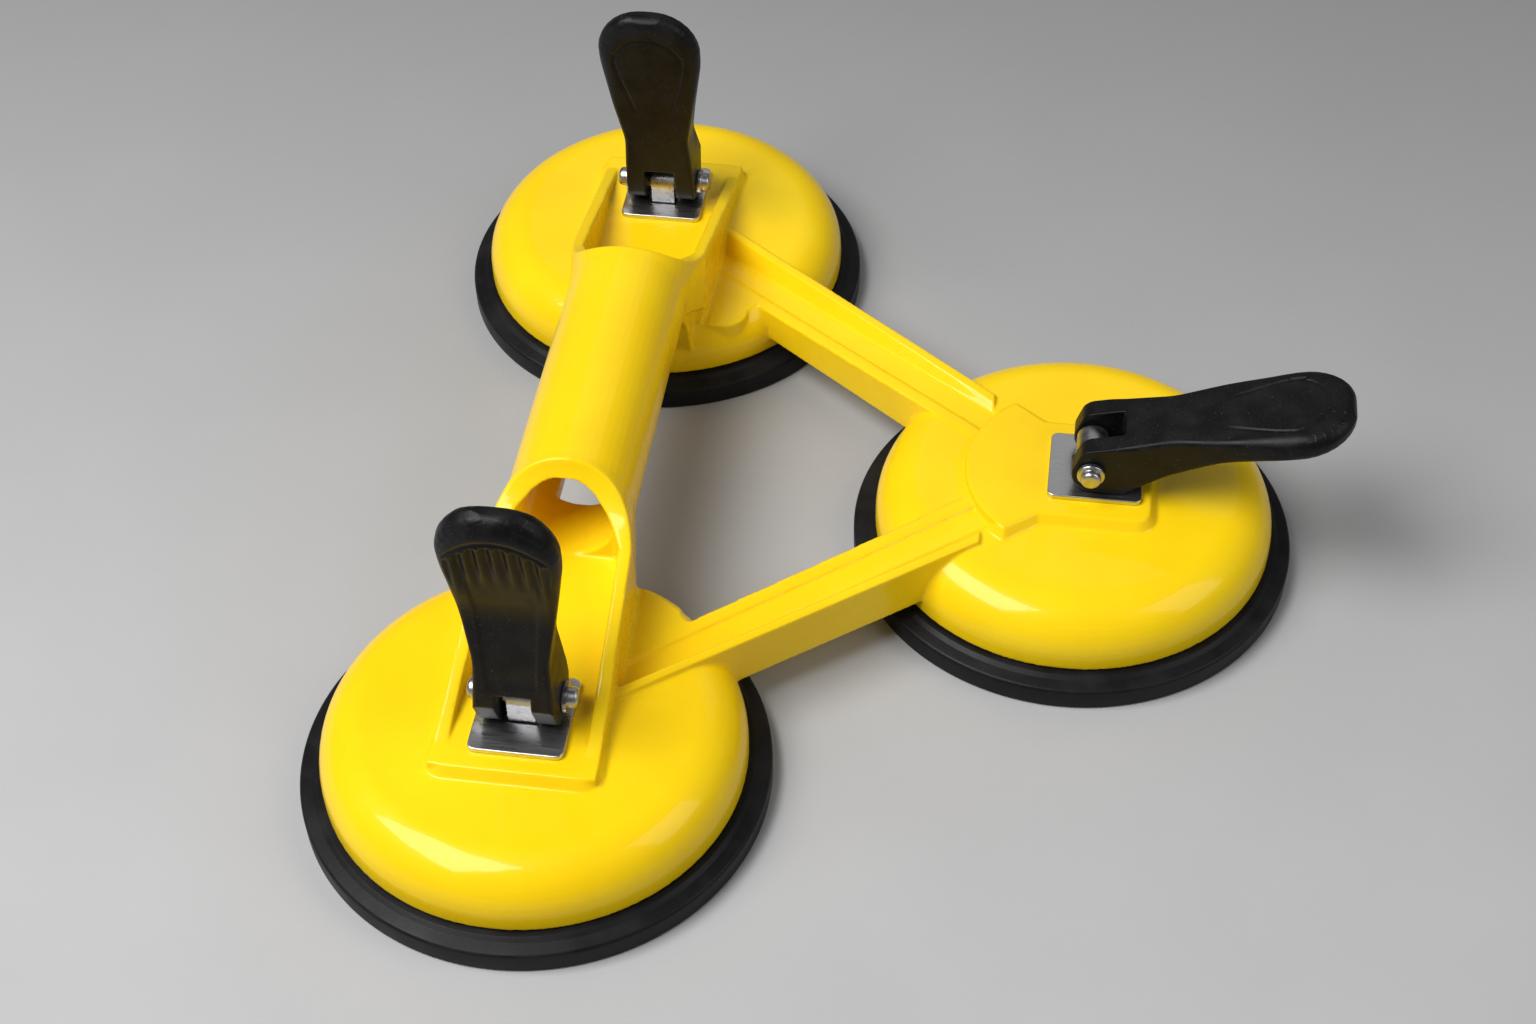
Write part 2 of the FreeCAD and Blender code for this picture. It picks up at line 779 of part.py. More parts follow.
def strap_slot(cup):
    slot = doc.addObject("Part::Box", f"strap_slot_{cup}")
    depth = size("platform_height") - size("dome_height") + size("dome_wall") * 2
    slot.setExpression("Length", slot_length.text)
    slot.setExpression("Width", slot_width.text)
    slot.setExpression("Height", (depth * 2).text)
    corner = place_text(-slot_length / 2, -slot_width / 2, size("platform_height") - depth)
    slot.setExpression("Placement", f"{stem_place(cup)} * {corner}")
    return slot


arm_length = (half_row * half_row + size("third_reach") * size("third_reach")).root()
arm_cos = size("third_reach") / arm_length


def arm_edge(across, offset):
    """Where a line beside the first arm's middle line passes a distance across from the handle row."""
    return across * half_row / size("third_reach") - half_row + offset / arm_cos


def arm(cup, side):
    """Straight bar from a scoop's wall to the third platform, along the line between the cups' centres."""
    root = (size("handle_radius") + size("handle_bore")) / 2
    end = size("third_reach") - size("third_radius") * arm_cos
    half = size("arm_width") / 2
    corners = [(root, -half), (end, -half), (end, half), (root, half)]
    outline = loose_sketch(f"arm_outline_{cup}", place_text(row_x, 0, size("arm_top")), [
        (across, arm_edge(across, offset) * side) for across, offset in corners
    ])
    solid = extrude(f"arm_{cup}", outline, size("arm_depth"))
    solid.Reversed = True
    return solid


def trough_section(name, side, along, depth):
    """The trough across an arm: a drafted wall at the outer lip, a flat floor and a low step to the inner lip."""
    half = size("arm_width") / 2
    top = size("arm_top")
    floor = top - depth
    ledge = floor + size("trough_step")
    outer = half - size("arm_lip")
    inner = size("arm_inner_lip") - half
    beyond = -size("trough_overrun")
    heading = f"{side} * atan2({half_row.text}; {size('third_reach').text})"
    start = (f"placement(vector({row_x.text}; {(half_row * -side).text}; 0); "
             f"rotation(vector(0; 0; 1); {heading} - 90 deg)){UPRIGHT}")
    corners = [
        (outer, top),
        (outer - size("trough_draft"), floor),
        (inner, floor),
        (inner, ledge),
        (beyond, ledge),
        (beyond, top + past),
        (outer, top + past),
    ]
    return loose_sketch(name, f"{start} * {place_text(0, 0, -along)}", [(out * side, up) for out, up in corners])


def arm_trough(cup, side):
    """What is cut from the top of an arm, between the scoop's wall and the third platform."""
    top = size("arm_top")
    run = flared(f"trough_run_{cup}", [
        trough_section(f"trough_start_{cup}", side, as_size(0), size("trough_depth")),
        trough_section(f"trough_finish_{cup}", side, arm_length, size("trough_end_depth")),
    ])
    keep = doc.addObject("Part::Cylinder", f"trough_end_{cup}")
    keep.setExpression("Radius", size("third_radius").text)
    keep.setExpression("Height", (top * 2).text)
    keep.setExpression("Placement", place_text(third_x, 0, 0))
    root = doc.addObject("Part::Box", f"trough_root_{cup}")
    root.setExpression("Length", (size("trough_root") * 4).text)
    root.setExpression("Width", (size("cup_spacing") * 2).text)
    root.setExpression("Height", (top * 4).text)
    root.setExpression("Placement", place_text(row_x - size("trough_root") * 3, -size("cup_spacing"), 0))
    return cut_all(run, [keep, root])


def third_platform():
    """Raised flat of the third cup: straight at its front, spreading along the arms to a round inner edge."""
    half = size("third_width") / 2
    front = size("third_front")
    corner = size("platform_corner")
    outer_edge = size("arm_width") / 2
    back = size("third_radius")
    elbow = size("third_reach") + (outer_edge / arm_cos - half) * size("third_reach") / half_row
    spread = -arm_edge(size("third_reach") - back, -outer_edge)
    outline = loose_sketch("third_outline", place_text(third_x, 0, size("platform_height")), [
        (-back, -spread),
        (elbow - size("third_reach"), -half),
        (front, -half, corner),
        (front, half, corner),
        (elbow - size("third_reach"), half),
        (-back, spread),
    ])
    wedge = drafted("third_wedge", outline)
    disc = doc.addObject("Part::Cone", "third_disc")
    depth = size("platform_height") - size("dome_height") + size("dome_wall") / 2
    lean = size("platform_draft").sin() / size("platform_draft").cos()
    disc.setExpression("Radius1", (size("third_radius") + depth * lean).text)
    disc.setExpression("Radius2", size("third_radius").text)
    disc.setExpression("Height", depth.text)
    disc.setExpression("Placement", place_text(third_x, 0, size("platform_height") - depth))
    common = doc.addObject("Part::Common", "platform_c")
    common.Base = wedge
    common.Tool = disc
    return common


def build_frame_casting():
    """One die casting: three hollow domes, the scooped handle tube between two, and arms to the third."""
    shells = [dome_outside(cup) for cup in CUPS]
    shells += [row_platform(cup) for cup in "ab"] + [third_platform()]
    shells += [scoop_neck(cup) for cup in "ab"]
    domes = cut_all(join_all(shells[0], shells[1:]), [dome_inside(cup) for cup in CUPS])
    bars = [arm("a", 1), arm("b", -1), gusset("a", 1), gusset("b", -1)]
    triangle = cut_all(join_all(domes, bars), [arm_trough("a", 1), arm_trough("b", -1)])
    tube_reach = half_row - (size("flare_reach") + size("flare_full_reach")) / 2
    handle = [scoop_outside(cup) for cup in "ab"]
    handle += [handle_cylinder("handle_tube", size("handle_radius"), tube_reach)]
    hollows = [scoop_slope(cup) for cup in "ab"]
    hollows += [scoop_inside(cup) for cup in "ab"]
    hollows += [strap_slot(cup) for cup in CUPS]
    hollows += [handle_cylinder("handle_bore", size("handle_bore"), half_row + size("platform_front") + past)]
    hollows += [grip_slot()]
    casting = cut_all(join_all(triangle, handle), hollows)
    casting.Refine = True
    casting.Label = "frame_casting"
    return casting


def grip_slot():
    """Open slot along the underside of the handle tube."""
    slot = doc.addObject("Part::Box", "grip_slot")
    slot.setExpression("Length", size("grip_slot_width").text)
    slot.setExpression("Width", size("grip_slot_length").text)
    slot.setExpression("Height", size("handle_radius").text)
    slot.setExpression("Placement", place_text(row_x - size("grip_slot_width") / 2,
                                               -size("grip_slot_length") / 2,
                                               handle_z - size("handle_radius")))
    return slot


nodes = [build_frame_casting()]
for cup in CUPS:
    nodes += [build_rubber_pad(cup), build_core_plate(cup), build_pull_strap(cup), build_wear_plate(cup)]
    nodes += [build_lever(cup), build_pivot_pin(cup), build_pin_retainer(cup)]
doc.recompute()

faults = [item.Name for item in doc.Objects if "Invalid" in item.State or "Error" in item.State]
faults += [node.Label for node in nodes if node.Shape.isNull() or not node.Shape.isValid()]
if faults:
    raise RuntimeError(f"these objects failed: {faults}")

os.makedirs("parts", exist_ok=True)
for node in nodes:
    node.Shape.exportStep(f"parts/{node.Label}.step")
    box = node.Shape.BoundBox
    print(f"{node.Label}: {len(node.Shape.Solids)} solid, {node.Shape.Volume:.0f} mm3,",
          f"x {box.XMin:.1f} {box.XMax:.1f}, y {box.YMin:.1f} {box.YMax:.1f}, z {box.ZMin:.1f} {box.ZMax:.1f}")
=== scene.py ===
"""Triple suction cup lifter on a pale floor: the looks of each piece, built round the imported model."""
import json
import math

import bmesh
import bpy
import numpy as np
from mathutils import Matrix, Vector


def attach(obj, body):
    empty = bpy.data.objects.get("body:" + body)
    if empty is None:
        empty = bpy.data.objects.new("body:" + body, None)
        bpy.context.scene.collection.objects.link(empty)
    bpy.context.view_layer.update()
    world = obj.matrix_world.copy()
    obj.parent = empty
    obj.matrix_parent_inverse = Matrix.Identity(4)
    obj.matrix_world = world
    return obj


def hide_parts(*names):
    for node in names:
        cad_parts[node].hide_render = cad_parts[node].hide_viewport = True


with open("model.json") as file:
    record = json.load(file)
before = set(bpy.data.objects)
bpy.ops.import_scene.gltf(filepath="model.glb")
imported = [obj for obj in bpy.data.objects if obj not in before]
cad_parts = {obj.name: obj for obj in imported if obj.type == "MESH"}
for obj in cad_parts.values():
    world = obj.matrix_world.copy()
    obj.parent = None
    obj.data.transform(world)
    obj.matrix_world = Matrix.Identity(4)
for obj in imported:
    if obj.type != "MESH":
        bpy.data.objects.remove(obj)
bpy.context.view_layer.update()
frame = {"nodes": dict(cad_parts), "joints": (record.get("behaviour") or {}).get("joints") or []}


# Frame casting. One aluminium die casting with three cup domes, a tube handle with scooped ends and two
# arms to the third cup. Its edges are softly rounded by the casting and the thick coat of yellow enamel
# sprayed over it, which dries glossy with a faint orange-peel ripple.
MM = 0.001
SAME_POINT = 0.002 * MM
CUP_PLACES = {"a": (-69.75 * MM, -98 * MM), "b": (-69.75 * MM, 98 * MM), "c": (60.25 * MM, 0.0)}
CASTING_VOXEL = 0.45 * MM
CASTING_PASSES = 9
CASTING_KEEP = 0.115

# what is dressed off at the handle's cups, in mm beside the cup's axis and outward along the handle: a thin web
# next to the scoop, between two heights, and at cup a the corner of the arm's root that stands above the dome
WEB_OUTLINE = [(18.45, -47), (19.53, -40), (20, -20), (20.22, -11.5), (20.4, -11.5), (20.4, -47)]
WEB_LOW = 22.3
WEB_HIGH = 30
ROOT_OUTLINE = [(19.53, -40), (19.9, -25.7), (34, -36.1), (34, -58), (16.9, -58), (18.45, -47)]
ROOT_LOW = 5
ROOT_HIGH = 30
DOME_PROFILE = [(0, 0, 0), (54.02, 0, 0.01), (54.02, 25.4, 12), (20, 26.2, 0.01), (0, 26.2, 0)]

ENAMEL_DEEP = (0.93, 0.6, 0.004, 1)
ENAMEL_LIGHT = (0.97, 0.67, 0.008, 1)


class Signal:
    """One shader socket. Adding to it or multiplying it adds Math nodes to the tree that it belongs to."""

    def __init__(self, tree, socket=None):
        self.tree = tree
        self.socket = socket

    def node(self, kind, settings, sockets, out=0):
        """Adds a node of a type: its settings are set first, then its sockets get values or links."""
        made = self.tree.nodes.new("ShaderNode" + kind)
        for name, value in settings.items():
            setattr(made, name, value)
        for key, value in sockets.items():
            if isinstance(value, Signal):
                self.tree.links.new(value.socket, made.inputs[key])
            else:
                made.inputs[key].default_value = value
        return Signal(self.tree, made.outputs[out])

    def __add__(self, other):
        return self.node("Math", {"operation": "ADD"}, {0: self, 1: other})

    def __mul__(self, other):
        return self.node("Math", {"operation": "MULTIPLY"}, {0: self, 1: other})

    __radd__ = __add__
    __rmul__ = __mul__


class Finish:
    """A material with one Principled shader, and the nodes that the finishes here have in common."""

    def __init__(self, name, constants):
        self.material = bpy.data.materials.new(name)
        self.material.use_nodes = True
        self.tree = self.material.node_tree
        self.shader = self.tree.nodes["Principled BSDF"]
        for socket, value in constants.items():
            self.shader.inputs[socket].default_value = value
        self.start = Signal(self.tree)
        self.place = self.start.node("TexCoord", {}, {}, "Object")

    def feed(self, socket, signal):
        """Links a signal to a socket of the shader."""
        self.tree.links.new(signal.socket, self.shader.inputs[socket])

    def grain(self, size, detail, stretch=None):
        """Noise from 0 to 1 with lumps of about a size in metres, drawn out by a stretch on each axis."""
        place = self.place
        if stretch:
            place = self.start.node("Mapping", {}, {"Vector": place, "Scale": stretch})
        return self.start.node("TexNoise", {}, {"Vector": place, "Scale": 1 / size, "Detail": detail}, "Fac")

    def between(self, share, first, second):
        """A colour that goes from the first to the second as the share goes from 0 to 1."""
        return self.start.node("Mix", {"data_type": "RGBA"}, {"Factor": share, 6: first, 7: second}, 2)

    def ramp(self, share, low, high):
        """Stretches a share so that low becomes 0 and high becomes 1, and clips the rest."""
        return self.start.node("MapRange", {}, {"Value": share, "From Min": low, "From Max": high})

    def bump(self, height, depth, below=None):
        """A Bump node of a depth in metres, on top of another one where it is given."""
        sockets = {"Height": height, "Strength": 1.0, "Distance": depth}
        if below:
            sockets["Normal"] = below
        return self.start.node("Bump", {}, sockets)


def level(share, low, high):
    """A number that goes from low to high as the share goes from 0 to 1: low + (high - low) share."""
    return low + (high - low) * share


def merged(node):
    """A copy of a CAD node's mesh with the points that lie on one another made one."""
    mesh = frame["nodes"][node].data.copy()
    mesh.materials.clear()
    work = bmesh.new()
    work.from_mesh(mesh)
    bmesh.ops.remove_doubles(work, verts=work.verts, dist=SAME_POINT)
    work.to_mesh(mesh)
    work.free()
    return mesh


def softened(mesh, name, voxel, passes, keep=1.0):
    """A closed mesh with its edges rounded and its corners filled.

    It is remeshed with cubes of the voxel size, and the new points are laid on the sharp shape again. They are
    then averaged with their neighbours a number of passes, and the mesh is thinned to a share of its faces.
    """
    sharp, rough = bpy.data.objects.new("sharp", mesh), bpy.data.objects.new(name, mesh)
    for item in (sharp, rough):
        bpy.context.scene.collection.objects.link(item)
    remesh = rough.modifiers.new("remesh", "REMESH")
    remesh.mode = "VOXEL"
    remesh.voxel_size = voxel
    lay = rough.modifiers.new("lay", "SHRINKWRAP")
    lay.target = sharp
    smooth = rough.modifiers.new("smooth", "SMOOTH")
    smooth.iterations = passes
    if keep < 1:
        thin = rough.modifiers.new("thin", "DECIMATE")
        thin.ratio = keep
    solid = bpy.data.meshes.new_from_object(rough.evaluated_get(bpy.context.evaluated_depsgraph_get()))
    rough.modifiers.clear()
    rough.data = solid
    bpy.data.objects.remove(sharp)
    solid.shade_smooth()
    return rough


def rounded_line(corners, steps):
    """A polyline with each corner replaced by an arc of its radius.

    A corner is (across, up, radius). Its arc starts and ends a tangent length, radius times the tangent of
    half the turn, from the corner, and is the rational quadratic curve with the cosine of half the turn as its
    middle weight, which is a true arc.
    """
    corners = np.array(corners, float)
    points = [corners[:1, :2]]
    share = np.linspace(0, 1, steps)[:, None]
    for before, here, after in zip(corners, corners[1:], corners[2:]):
        arriving = (here - before)[:2] / np.linalg.norm((here - before)[:2])
        leaving = (after - here)[:2] / np.linalg.norm((after - here)[:2])
        turn = math.acos(np.clip(arriving @ leaving, -1, 1))
        cut = here[2] * math.tan(turn / 2)
        start, end = here[:2] - arriving * cut, here[:2] + leaving * cut
        first, last = (1 - share) ** 2, share ** 2
        middle = 2 * share * (1 - share) * math.cos(turn / 2)
        points.append((first * start + middle * here[:2] + last * end) / (first + middle + last))
    points.append(corners[-1:, :2])
    return np.concatenate(points)


def turned(name, profile, centre, steps):
    """A solid of revolution: radius and height along the profile, carried round an upright axis.

    Point (i, j) is centre + (r[i] cos t[j], r[i] sin t[j], z[i]), with t from 0 to a full turn, and the two
    ends of the profile lie on the axis, where each is closed by a fan.
    """
    angle = np.linspace(0, 2 * np.pi, steps, endpoint=False)
    radius, height = profile[1:-1, 0], profile[1:-1, 1]
    ring = np.stack([np.outer(radius, np.cos(angle)) + centre[0],
                     np.outer(radius, np.sin(angle)) + centre[1],
                     np.repeat(height[:, None], steps, 1)], -1)
    poles = [(centre[0], centre[1], profile[0, 1]), (centre[0], centre[1], profile[-1, 1])]
    points = np.concatenate([ring.reshape(-1, 3), poles])
    row, column = np.meshgrid(np.arange(len(radius) - 1), np.arange(steps), indexing="ij")
    after = (column + 1) % steps
    quads = np.stack([row * steps + column, row * steps + after,
                      (row + 1) * steps + after, (row + 1) * steps + column], -1).reshape(-1, 4)
    here = np.arange(steps)
    there = (here + 1) % steps
    first, last = len(points) - 2, len(points) - 1
    top_row = (len(radius) - 1) * steps
    fans = [np.stack([there, here, np.full(steps, first)], -1),
            np.stack([top_row + here, top_row + there, np.full(steps, last)], -1)]
    mesh = bpy.data.meshes.new(name)
    mesh.from_pydata(points.tolist(), [], quads.tolist() + np.concatenate(fans).tolist())
    mesh.shade_smooth()
    piece = bpy.data.objects.new(name, mesh)
    bpy.context.scene.collection.objects.link(piece)
    return piece


def prism(outline, low, high, origin, axes):
    """A closed bar: an outline in mm along the first two axes, carried from low to high along the third."""
    count = len(outline)
    points = np.array([(*corner, end) for end in (low, high) for corner in outline]) @ axes * MM + origin
    faces = [tuple(range(count)), tuple(range(count, 2 * count))]
    faces += [(k, (k + 1) % count, count + (k + 1) % count, count + k) for k in range(count)]
    mesh = bpy.data.meshes.new("bar")
    mesh.from_pydata(points.tolist(), [], faces)
    work = bmesh.new()
    work.from_mesh(mesh)
    bmesh.ops.recalc_face_normals(work, faces=work.faces)
    work.to_mesh(mesh)
    work.free()
    return mesh


def carved(mesh, cutter):
    """A mesh less another: what a Boolean difference leaves of it."""
    whole, tool = bpy.data.objects.new("whole", mesh), bpy.data.objects.new("tool", cutter)
    for item in (whole, tool):
        bpy.context.scene.collection.objects.link(item)
    cut = whole.modifiers.new("cut", "BOOLEAN")
    cut.object = tool
    cut.operation = "DIFFERENCE"
    cut.solver = "EXACT"
    left = bpy.data.meshes.new_from_object(whole.evaluated_get(bpy.context.evaluated_depsgraph_get()))
    bpy.data.objects.remove(whole)
    bpy.data.objects.remove(tool)
    return left


def dress(piece, finish, slot, body, *nodes):
    """Gives a new piece its material and its body, and hides the CAD nodes that it stands for."""
    piece.data.materials.clear()
    piece.data.materials.append(finish.material)
    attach(piece, body)
    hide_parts(*nodes)


enamel = Finish("yellow_enamel", {"Coat Weight": 0.28, "Coat Roughness": 0.05, "Specular IOR Level": 0.1})
drift = enamel.ramp(enamel.grain(size=40 * MM, detail=3.0), low=0.3, high=0.7)
enamel.feed("Base Color", enamel.between(drift, ENAMEL_DEEP, ENAMEL_LIGHT))
handling = enamel.ramp(enamel.grain(size=9 * MM, detail=4.0), low=0.45, high=0.75)
enamel.feed("Roughness", level(handling, low=0.24, high=0.36))
ripple = enamel.bump(enamel.grain(size=2.4 * MM, detail=1.0), depth=0.008 * MM)
lumps = enamel.grain(size=14 * MM, detail=1.0)
enamel.feed("Normal", enamel.bump(lumps, depth=0.03 * MM, below=ripple))

aluminium = merged("frame_casting")
for cup, inboard in (("a", 1), ("b", -1)):
    middle = np.array([*CUP_PLACES[cup], 0.0])
    cup_axes = np.diag([1.0, -inboard, 1.0])
    aluminium = carved(aluminium, prism(WEB_OUTLINE, WEB_LOW, WEB_HIGH, middle, cup_axes))
    if cup == "a":
        dome = turned("dome", rounded_line(DOME_PROFILE, steps=24) * MM, CUP_PLACES[cup], steps=240)
        root = carved(prism(ROOT_OUTLINE, ROOT_LOW, ROOT_HIGH, middle, cup_axes), dome.data)
        bpy.data.objects.remove(dome)
        aluminium = carved(aluminium, root)
casting = softened(aluminium, "painted_casting", CASTING_VOXEL, CASTING_PASSES, CASTING_KEEP)
dress(casting, enamel, "casting_paint", "frame", "frame_casting")


# Rubber pads. Each is a moulded disc of soft black rubber, pressed into the rim of its dome, with a rounded
# outer lip, a shallow step up to the dome and a hollow inside its flat sealing ring. The pocket for the core
# plate is deep enough for the plate to go down as the lever is let up.
PAD_LIFTS = {"a": 0.987, "b": 0.602, "c": 2.6}
PAD_RADIUS = 59.95
PAD_DRAFT = 0.05
PAD_LIP_HEIGHT = 6.4
SEAL_INNER_RADIUS = 48
POCKET_RADIUS = 28.3
POCKET_FLOOR = 4.1
HOLLOW_HEIGHT = 1
BOSS_RADIUS = 31.3
BOSS_HEIGHT = 7
STEP_FOOT = (56.6, 7.25)
STEP_TOP = (55.4, 8.1)
STEP_INNER = (51, 8.15)
RUBBER_BLACK = (0.005, 0.005, 0.006, 1)
RUBBER_BLOOM = (0.013, 0.013, 0.015, 1)

rubber = Finish("black_rubber", {"Specular IOR Level": 0.18})
bloom = rubber.ramp(rubber.grain(size=11 * MM, detail=5.0), low=0.42, high=0.8)
rubber.feed("Base Color", rubber.between(bloom, RUBBER_BLACK, RUBBER_BLOOM))
rubber.feed("Roughness", level(bloom, low=0.42, high=0.62))
rubber.feed("Normal", rubber.bump(rubber.grain(size=0.8 * MM, detail=3.0), depth=0.04 * MM))

for cup, centre in CUP_PLACES.items():
    lift = PAD_LIFTS[cup]
    section = [
        (0, HOLLOW_HEIGHT + lift, 0),
        (POCKET_RADIUS, HOLLOW_HEIGHT + lift, 6),
        (SEAL_INNER_RADIUS, 0, 4),
        (PAD_RADIUS - PAD_DRAFT, 0, 0.9),
        (PAD_RADIUS, PAD_LIP_HEIGHT, 1.1),
        (*STEP_FOOT, 0.5),
        (*STEP_TOP, 0.4),
        (*STEP_INNER, 0.5),
        (BOSS_RADIUS, BOSS_HEIGHT + lift, 3),
        (POCKET_RADIUS, BOSS_HEIGHT + lift, 0.3),
        (POCKET_RADIUS, POCKET_FLOOR, 0.2),
        (0, POCKET_FLOOR, 0),
    ]
    pad = turned(f"moulded_pad_{cup}", rounded_line(section, steps=7) * MM, centre, steps=160)
    dress(pad, rubber, "pad_rubber", "frame", f"rubber_pad_{cup}")


# Core plates. A plain steel disc is bonded into the top of each pad, and the strap is welded to it. It is
# inside the dome, so its mill scale and weld heat tint show only when the lifter is apart.
SCALE_DARK = (0.36, 0.35, 0.34, 1)
SCALE_LIGHT = (0.52, 0.5, 0.48, 1)

core_steel = Finish("core_steel", {"Metallic": 1.0})
scale = core_steel.ramp(core_steel.grain(size=7 * MM, detail=4.0), low=0.35, high=0.7)
core_steel.feed("Base Color", core_steel.between(scale, SCALE_DARK, SCALE_LIGHT))
core_steel.feed("Roughness", level(scale, low=0.38, high=0.58))
core_steel.feed("Normal", core_steel.bump(core_steel.grain(size=0.9 * MM, detail=2.0), depth=0.02 * MM))


def finish_nodes(kind, finish):
    """Gives the CAD nodes of one kind, one at each cup, a finish."""
    for cup in CUP_PLACES:
        mesh = frame["nodes"][f"{kind}_{cup}"].data
        mesh.materials.clear()
        mesh.materials.append(finish.material)


finish_nodes("core_plate", core_steel)


# Pull straps and pins. A strip of bright zinc-plated steel is folded over each turned pin, which has a collar
# near one end and a push-on washer near the other, and rounded ends that stand out at both sides of the lever.
LEVER_WAYS = {"a": (0, -1), "b": (0, 1), "c": (1, 0)}
PIN_RADIUS = 2.75
PIN_HALF_LENGTH = 13.9
PIN_END_ROUND = 1.2
COLLAR_RADIUS = 3.7
COLLAR_INNER = 10.3
COLLAR_OUTER = 11.7
COLLAR_DRAFT = 0.05
PIN_PROFILE = [
    (0, -PIN_HALF_LENGTH, 0),
    (PIN_RADIUS, -PIN_HALF_LENGTH, PIN_END_ROUND),
    (PIN_RADIUS, -COLLAR_OUTER - COLLAR_DRAFT, 0.05),
    (COLLAR_RADIUS, -COLLAR_OUTER, 0.5),
    (COLLAR_RADIUS, -COLLAR_INNER, 0.1),
    (PIN_RADIUS, -COLLAR_INNER, 0.05),
    (PIN_RADIUS, PIN_HALF_LENGTH, PIN_END_ROUND),
    (0, PIN_HALF_LENGTH, 0),
]
ZINC_DULL = (0.4, 0.4, 0.41, 1)
ZINC_BRIGHT = (0.55, 0.55, 0.56, 1)

zinc = Finish("bright_zinc", {"Metallic": 1.0})
cloud = zinc.ramp(zinc.grain(size=2.2 * MM, detail=3.0), low=0.35, high=0.7)
zinc.feed("Base Color", zinc.between(cloud, ZINC_DULL, ZINC_BRIGHT))
zinc.feed("Roughness", level(cloud, low=0.26, high=0.42))
zinc.feed("Normal", zinc.bump(zinc.grain(size=0.35 * MM, detail=2.0), depth=0.008 * MM))
finish_nodes("pull_strap", zinc)
finish_nodes("pin_retainer", zinc)

fold_places = {joint["name"]: joint["pos_m"] for joint in frame["joints"] if "pos_m" in joint}
for cup, way in LEVER_WAYS.items():
    spindle = turned(f"turned_pin_{cup}", rounded_line(PIN_PROFILE, steps=6) * MM, (0, 0), steps=56)
    level_way, upright = Vector((*way, 0)), Vector((0, 0, 1))
    laid_down = Matrix((upright, level_way, upright.cross(level_way))).transposed().to_4x4()
    spindle.data.transform(Matrix.Translation(fold_places[f"lever_{cup}_fold"]) @ laid_down)
    dress(spindle, zinc, "pin_steel", f"stem_{cup}", f"pivot_pin_{cup}")


# Wear plates. Each is a stamped plate of stainless steel, brushed along its length, with rounded edges, and
# it lies on the platform so that the lever's foot turns on steel and not on the paint.
PLATE_VOXEL = 0.22 * MM
PLATE_PASSES = 4
BRUSH_STRETCH = (0.06, 1.0, 1.0)
PLATE_DARK = (0.5, 0.5, 0.51, 1)
PLATE_LIGHT = (0.74, 0.74, 0.75, 1)

brushed = Finish("brushed_plate", {"Metallic": 1.0})
lines = brushed.grain(size=0.5 * MM, detail=2.0, stretch=BRUSH_STRETCH)
brushed.feed("Base Color", brushed.between(lines, PLATE_DARK, PLATE_LIGHT))
brushed.feed("Roughness", level(lines, low=0.2, high=0.4))
brushed.feed("Normal", brushed.bump(lines, depth=0.01 * MM))
for cup in CUP_PLACES:
    plate = softened(merged(f"wear_plate_{cup}"), f"stamped_plate_{cup}", PLATE_VOXEL, PLATE_PASSES)
    dress(plate, brushed, "plate_steel", "frame", f"wear_plate_{cup}")


# Levers. Each is moulded in black glass-filled nylon with a forked foot that straddles the strap, a narrow
# waist and a broad head, rounded over all round. On top a fine line runs round a teardrop panel; underneath,
# a crease sets off the end, and seven finger ridges fade into a shallow panel. The skin is satin with specks.
LEVER_STANDS = {"a": 67, "b": 83, "c": 0}
LEVER_REACH = 66.0
LEVER_VOXEL = 0.29 * MM
LEVER_PASSES = 4
NYLON_BLACK = (0.0045, 0.0045, 0.005, 1)
NYLON_WORN = (0.011, 0.011, 0.012, 1)
NYLON_SPECK = (0.05, 0.05, 0.052, 1)

# outlines in mm from the pin: along the lever, and then to the side for the plan and the teardrop, or upward
# for the top and the underside
plan_corners = [(-20, 10, 0), (9.5, 10, 20), (20, 9.3, 20), (48.5, 14.5, 34), (LEVER_REACH, 14.5, 13.2),
                (LEVER_REACH, 0, 0)]
LEVER_PLAN = rounded_line(plan_corners, steps=9)
LEVER_TOP = rounded_line([(-2.8, 6.8, 0), (31, 15.8, 60), (96, 34.56, 0)], steps=9)
LEVER_UNDER = rounded_line([(9.5, -7.35, 0), (33, 8.8, 25), (96, 24.26, 0)], steps=9)
TEARDROP = rounded_line([(30, 4.6, 0), (48, 9.8, 34), (58.5, 9.8, 9.4), (58.5, 0, 0)], steps=9)

# the fork's slot, cut through the underside, and where the straight flutes of the CAD lever lie
FORK_WEDGE = [(-12, -16), (17.4, -16), (12.6, -5.1), (7.9, 2), (-12, 2)]
FORK_HALF = 4.5
FLUTE_DEPTHS = (0.5, 1.5)
FLUTE_RUN = (44, 63.5)
FLUTES_HALF_WIDTH = 11.2
FLUTE_SLOPE = 0.3

# edge rounds, by the stretch along the lever where each takes over from the one before
FOOT_ROUND = 0.2
WAIST_ROUND = 1.3
WAIST_RUN = (2, 10)
HEAD_ROUND = 3.9
HEAD_RUN = (30, 50)
END_BROADENING = 0.9
END_RUN = (50, 63)
SMALLEST_GAP = 0.001

